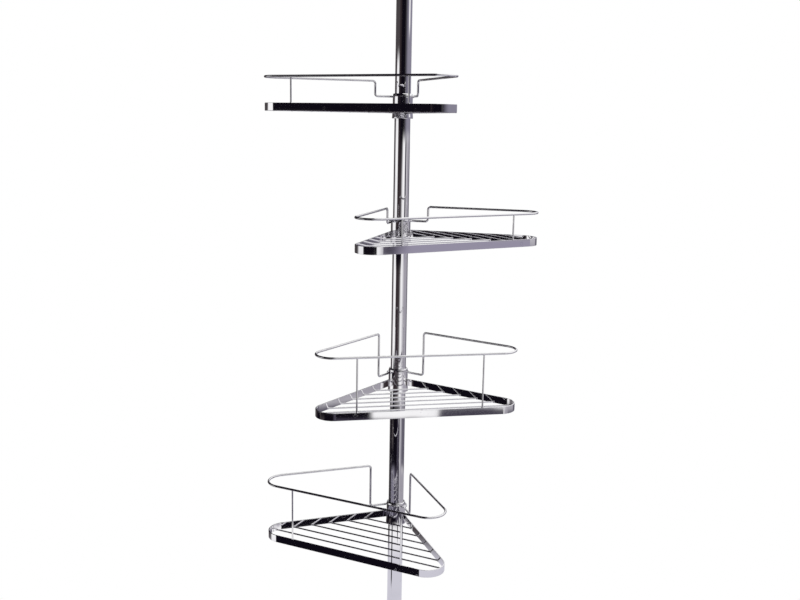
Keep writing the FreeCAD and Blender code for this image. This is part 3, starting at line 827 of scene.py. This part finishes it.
# %% Draw the plan
CORNER_X = 110.6
CORNER_R = 24.5
STRIP_THICK = 1.5
STRIP_TALL = 10.2
SIDE_ANGLE = math.radians(45.0)
SLEEVE_WALL = 1.0
NECK_R = POLE_R + 2.8
WEDGE_LOW_WALL = 2.5
SLEEVE_LOW_R = POLE_R + WEDGE_LOW_WALL + SLEEVE_WALL + 2 * RUNNING
SLEEVE_BELOW = 7.0
SLEEVE_ABOVE = 27.0
FLARE_TOP = 9.0
SIDE_LEAD = 2.5
side_offset = (STRIP_THICK / 2 + SLEEVE_LOW_R * math.sin(SIDE_ANGLE) - SIDE_LEAD * math.cos(SIDE_ANGLE))
front_y = -(CORNER_X * math.sin(SIDE_ANGLE) + CORNER_R * (1 + math.cos(SIDE_ANGLE))
            - side_offset) / math.cos(SIDE_ANGLE)


def side_y(x, inset):
    """Where the side line is at a distance x from the middle, set in from the outer face."""
    return (side_offset - inset) / math.cos(SIDE_ANGLE) - abs(x) * math.tan(SIDE_ANGLE)


def sleeve_r(z):
    """The sleeve's outer radius at a height above the rim's lower edge: a neck on a flared foot."""
    share = max(0.0, (FLARE_TOP - z) / (FLARE_TOP + SLEEVE_BELOW))
    return NECK_R + (SLEEVE_LOW_R - NECK_R) * share ** 1.4


print("front line at y", round(front_y, 2), "side offset", round(side_offset, 2))

# %% [markdown]
# ## The rim
# The rim is flat strip bent on edge. Rolled strip has soft edges, and those thin bright or dark lines
# along the top and bottom are what the eye reads as thickness, so the section is a rectangle with
# four rounded corners. Its two ends are cut to the sleeve's side, where they are welded: every point
# of the section runs along the side until it meets the sleeve.

# %% Build the rim
STRIP_EDGE = 0.3
WELD_BITE = 0.15
CORNER_STEPS = 32


def strip_section():
    """Rounded rectangle as (outward, up) points."""
    half = STRIP_THICK / 2
    points = []
    corners = ((half, 0.0, -90), (half, STRIP_TALL, 0), (-half, STRIP_TALL, 90), (-half, 0.0, 180))
    for out, z, first in corners:
        centre_out = out - math.copysign(STRIP_EDGE, out)
        centre_z = STRIP_EDGE if z == 0.0 else STRIP_TALL - STRIP_EDGE
        points += rounded(centre_out, centre_z, STRIP_EDGE, first, first + 90, 4)
    return points


def to_sleeve(start, heading, z, bite=WELD_BITE):
    """Run from a point along a heading to the sleeve's side, and stop a bite inside it."""
    target = sleeve_r(z) - bite
    along = start.dot(heading)
    return start + heading * (-along - math.sqrt(along ** 2 - start.length_squared + target ** 2))


def rim_mesh():
    """Strip bent round the front and both sides."""
    middle_r = CORNER_R - STRIP_THICK / 2
    centre_y = front_y + CORNER_R
    first, last = -math.pi / 2, math.pi / 2 - SIDE_ANGLE
    stations = []
    for i in range(CORNER_STEPS + 1):
        angle = last + (first - last) * i / CORNER_STEPS
        stations.append((Vector((CORNER_X, centre_y)), Vector((math.cos(angle), math.sin(angle)))))
    for place, out in reversed(stations[:]):
        stations.append((Vector((-place.x, place.y)), Vector((-out.x, out.y))))
    section = strip_section()
    mesh = bmesh.new()
    rings = []
    for place, out in stations:
        rings.append([mesh.verts.new((*(place + out * (middle_r + s)), z)) for s, z in section])
    for end, sign in ((0, 1.0), (-1, -1.0)):
        back = Vector((-sign * math.cos(SIDE_ANGLE), math.sin(SIDE_ANGLE)))
        place, out = stations[end]
        ring = [mesh.verts.new((*to_sleeve(place + out * (middle_r + s), back, z), z))
                for s, z in section]
        rings.insert(0 if end == 0 else len(rings), ring)
    for this, following in zip(rings, rings[1:]):
        for k in range(len(section)):
            j = (k + 1) % len(section)
            mesh.faces.new((this[k], this[j], following[j], following[k]))
    mesh.faces.new(rings[0])
    mesh.faces.new(rings[-1])
    return mesh


# %% [markdown]
# ## The guard rail, the uprights and the floor wires
# The rail is one wire bent to the plan. At the back it steps down, turns to the sleeve, and passes
# behind it, so the shelf keeps its shape when it is loaded. Two thin uprights hold it off the rim.
# The floor is seven straight wires welded between the rim's inner faces.
# Each is a round section carried along a line. The floor wires run a little way into the strip,
# where the weld has melted them together.

# %% Build the wires
RAIL_R = 1.5
STEP_X = 32.7
STEP_BEND = 4.0
HOOK_BEND = 5.0
UPRIGHT_X = 84.0
UPRIGHT_R = 1.1
FLOOR_WIRE_R = 1.0
FLOOR_WIRE_Z = 1.5
FLOOR_PITCH = 19.2
FLOOR_FIRST = 14.1
FLOOR_WIRES = 7


def rail_mesh(top, low):
    """Closed rail wire: round the shelf, down at the back, and behind the sleeve."""
    inset = STRIP_THICK / 2
    hook_r = sleeve_r(low) + RAIL_R - WELD_BITE
    front = front_y + inset
    front_x = (side_y(0, inset) - front) / math.tan(SIDE_ANGLE)
    right = [((front_x, front, top), CORNER_R - inset),
             ((STEP_X, side_y(STEP_X, inset), top), STEP_BEND),
             ((STEP_X, side_y(STEP_X, inset), low), STEP_BEND),
             ((hook_r, side_y(hook_r, inset), low), HOOK_BEND),
             ((hook_r, hook_r, low), hook_r)]
    left = [((-x, y, z), bend) for (x, y, z), bend in reversed(right)]
    path = right + left
    mesh = bmesh.new()
    wire(mesh, bent_line([Vector(point) for point, bend in path], [bend for point, bend in path], True),
         RAIL_R, closed=True, sides=24)
    return mesh


def uprights_mesh(top):
    """The two posts between the rim and the rail."""
    mesh = bmesh.new()
    y = front_y + STRIP_THICK / 2
    for x in (-UPRIGHT_X, UPRIGHT_X):
        wire(mesh, [Vector((x, y, STRIP_TALL - 0.2)), Vector((x, y, top - RAIL_R + 0.2))], UPRIGHT_R)
    return mesh


def inner_face_x(y):
    """How far the rim's inner face is from the middle at a depth y."""
    bend = CORNER_R - STRIP_THICK
    centre_y = front_y + CORNER_R
    if y > centre_y + bend * math.cos(SIDE_ANGLE):
        return (side_y(0, STRIP_THICK) - y) / math.tan(SIDE_ANGLE)
    return CORNER_X + math.sqrt(bend ** 2 - (y - centre_y) ** 2)


FLOOR_YS = [front_y + FLOOR_FIRST + FLOOR_PITCH * i for i in range(FLOOR_WIRES)]


def floor_mesh_of_shelf():
    """Straight floor wires from side to side."""
    mesh = bmesh.new()
    for y in FLOOR_YS:
        x = inner_face_x(y) + 0.4
        wire(mesh, [Vector((-x, y, FLOOR_WIRE_Z)), Vector((x, y, FLOOR_WIRE_Z))], FLOOR_WIRE_R)
    return mesh


# %% [markdown]
# ## The welds
# Every crossing is welded before the shelf is plated, and the plate runs over the welds. A wire that
# butts on the strip leaves a small round nugget, and a strip that meets the sleeve gets a short seam
# with ripples where the torch moved on. The nuggets are turned domes, and the seams are wires whose
# thickness swells and shrinks.

# %% Build the welds
FLOOR_NUGGET = (1.75, 0.9)
FOOT_NUGGET = (1.5, 0.9)
HEAD_NUGGET = (1.45, 0.8)
SEAM_R = 0.62
SEAM_LIFT = 0.08
SEAM_MARGIN = 0.8
SEAM_STEPS = 16
SEAM_TIP = 0.35
RIPPLE = 0.10
HOOK_SEAM_R = 0.65
HOOK_SEAM_STEPS = 12
HOOK_SEAM_SPANS = ((28, 52), (62, 80))
HOOK_SEAM_OFFSET = 1.15


def nugget(mesh, place, facing, wide, tall):
    """A dome of weld metal on a surface, facing outwards."""
    dome = turned([(0.0, tall)] + [(wide * math.sin(a), tall * math.cos(a)) for a in (0.35, 0.75, 1.15, 1.5)]
                  + [(wide, -0.25), (0.0, -0.25)], 16)
    stand = Matrix.Translation(place) @ facing.to_track_quat("Z", "Y").to_matrix().to_4x4()
    bmesh.ops.transform(dome, matrix=stand, verts=dome.verts)
    carried = {v: mesh.verts.new(v.co) for v in dome.verts}
    for face in dome.faces:
        mesh.faces.new([carried[v] for v in face.verts])
    dome.free()


def seam(mesh, points, thick):
    """A rippled weld seam along a line, thin at both ends."""
    last = len(points) - 1
    radii = []
    for i in range(last + 1):
        grown = math.sin(math.pi / 2 * min(1, i / last * 4, (last - i) / last * 4))
        ripple = 1.0 + RIPPLE * math.sin(2.4 * i)
        radii.append(thick * (SEAM_TIP + (1 - SEAM_TIP) * grown) * ripple)
    wire(mesh, points, radii, sides=12)


def welds_mesh(top, low):
    """All the weld metal of one shelf."""
    mesh = bmesh.new()
    for y in FLOOR_YS:
        x = inner_face_x(y)
        if y > front_y + CORNER_R * (1 + math.cos(SIDE_ANGLE)):
            facing = Vector((-math.sin(SIDE_ANGLE), -math.cos(SIDE_ANGLE), 0.0))
        else:
            facing = Vector((CORNER_X - x, front_y + CORNER_R - y, 0.0)).normalized()
        for sign in (1.0, -1.0):
            nugget(mesh, Vector((sign * x, y, FLOOR_WIRE_Z)),
                   Vector((sign * facing.x, facing.y, 0.0)), *FLOOR_NUGGET)
    y = front_y + STRIP_THICK / 2
    for x in (-UPRIGHT_X, UPRIGHT_X):
        nugget(mesh, Vector((x, y, STRIP_TALL - 0.1)), Vector((0, 0, 1)), *FOOT_NUGGET)
        nugget(mesh, Vector((x, y, top - RAIL_R + 0.35)), Vector((0, 0, -1)), *HEAD_NUGGET)
    for sign in (1.0, -1.0):
        back = Vector((-sign * math.cos(SIDE_ANGLE), math.sin(SIDE_ANGLE)))
        for inset in (-0.2, STRIP_THICK + 0.2):
            start = Vector((sign * STEP_X, side_y(STEP_X, inset)))
            levels = [SEAM_MARGIN + (STRIP_TALL - 2 * SEAM_MARGIN) * i / SEAM_STEPS
                      for i in range(SEAM_STEPS + 1)]
            seam(mesh, [Vector((*to_sleeve(start, back, z, -SEAM_LIFT), z)) for z in levels], SEAM_R)
        for first, last in HOOK_SEAM_SPANS:
            groove = sleeve_r(low + 1.0) + 0.45
            angles = [math.radians(first + (last - first) * i / HOOK_SEAM_STEPS)
                      for i in range(HOOK_SEAM_STEPS + 1)]
            for lift in (HOOK_SEAM_OFFSET, -HOOK_SEAM_OFFSET):
                seam(mesh, [Vector((sign * groove * math.cos(a), groove * math.sin(a), low + lift))
                            for a in angles], HOOK_SEAM_R)
    return mesh


# %% [markdown]
# ## The sleeve
# The sleeve is a short piece of tube: a neck that flares a little towards its foot. Its upper edge is
# crimped in round a split plastic wedge: pushing the shelf down pulls the sleeve onto the wedge and
# clamps the pole. The outline follows the flare and the neck, rolls over the crimp in one soft curve,
# and comes back down inside.

# %% Build the sleeve
SHOULDER = 4.6
SHOULDER_SHAPE = 0.62
SHOULDER_STEPS = 12
LIP = 1.6
LIP_R = POLE_R + 0.5
SIDE_LEVELS = (-5.0, -3.0, -1.0, 1.0, 3.0, 5.0, 7.0, 9.0, 15.0)


def sleeve_outline():
    """The sleeve's wall, with a rolled lower edge and a crimped upper one."""
    low, bend = -SLEEVE_BELOW, SLEEVE_ABOVE - SHOULDER
    under = SLEEVE_ABOVE - LIP - SLEEVE_WALL
    low_r = sleeve_r(low)
    crown_r = LIP_R + SLEEVE_WALL * 0.55
    foot = [(low_r - SLEEVE_WALL, low + 0.3), (low_r - SLEEVE_WALL + 0.25, low), (low_r - 0.5, low),
            (low_r - 0.15, low + 0.15), (sleeve_r(low + 0.6), low + 0.6)]
    angles = [math.pi / 2 * i / SHOULDER_STEPS for i in range(SHOULDER_STEPS + 1)]
    shoulder = [(crown_r + (sleeve_r(bend) - crown_r) * math.cos(a) ** SHOULDER_SHAPE,
                 bend + SHOULDER * math.sin(a)) for a in angles]
    lip = [(LIP_R + 0.15, SLEEVE_ABOVE - 0.1), (LIP_R, SLEEVE_ABOVE - 0.35),
           (LIP_R, under + SLEEVE_WALL), (sleeve_r(under) - SLEEVE_WALL, under)]
    return foot + [(sleeve_r(z), z) for z in SIDE_LEVELS] + shoulder + lip


# %% [markdown]
# ## Four shelves on the pole
# The four shelves are the same but for the height of the rail: the two lower ones have a tall rail
# for bottles. Each is turned its own way about the pole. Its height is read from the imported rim, so
# a shelf can't drift away from its body.

# %% Put every shelf in place
# number: turn in degrees, height of the rail, and how far its low part is below the sleeve's top
SHELVES = {1: (-26.0, 43.8, 4.0), 2: (29.0, 43.8, 4.0), 3: (11.0, 83.0, 7.0), 4: (-26.0, 83.0, 7.0)}
for number, (turn, rail_top, drop) in SHELVES.items():
    name = "shelf_%d_" % number
    body = "shelf_%d" % number
    rail_low = SLEEVE_ABOVE - drop
    place = (Matrix.Translation((0, 0, level(name + "rim", 0)))
             @ Matrix.Rotation(math.radians(turn), 4, "Z"))
    parts = [("rim", rim_mesh(), strip_chrome, "strip_chrome"),
             ("rail", rail_mesh(rail_top, rail_low), wire_chrome, "wire_chrome"),
             ("uprights", uprights_mesh(rail_top), wire_chrome, "wire_chrome"),
             ("grid", floor_mesh_of_shelf(), wire_chrome, "wire_chrome"),
             ("sleeve", turned(sleeve_outline()), sleeve_chrome, "sleeve_chrome"),
             ("welds", welds_mesh(rail_top, rail_low), wire_chrome, "wire_chrome")]
    for part, mesh, finish, slot in parts:
        bmesh.ops.transform(mesh, matrix=place, verts=mesh.verts)
        nodes = [name + part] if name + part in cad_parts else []
        make_piece("plated_" + name + part, mesh, finish, slot, body, *nodes)

# %% [markdown]
# ## The hidden pieces
# The coupler, the ferrule, the guide bush, the spring's seat and the wedges are inside the tubes and
# sleeves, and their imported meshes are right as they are. They only take their finish.

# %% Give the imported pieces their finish
CARRIED = {"tube_coupler": coupler_steel, "lock_ferrule": grey_plastic, "guide_bush": bush_plastic,
           "spring_seat": bush_plastic}
for number in SHELVES:
    for half in ("left", "right"):
        CARRIED["shelf_%d_wedge_%s" % (number, half)] = wedge_plastic
for node, finish in CARRIED.items():
    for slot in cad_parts[node].material_slots:
        slot.material = finish
print("carried over", len(CARRIED))
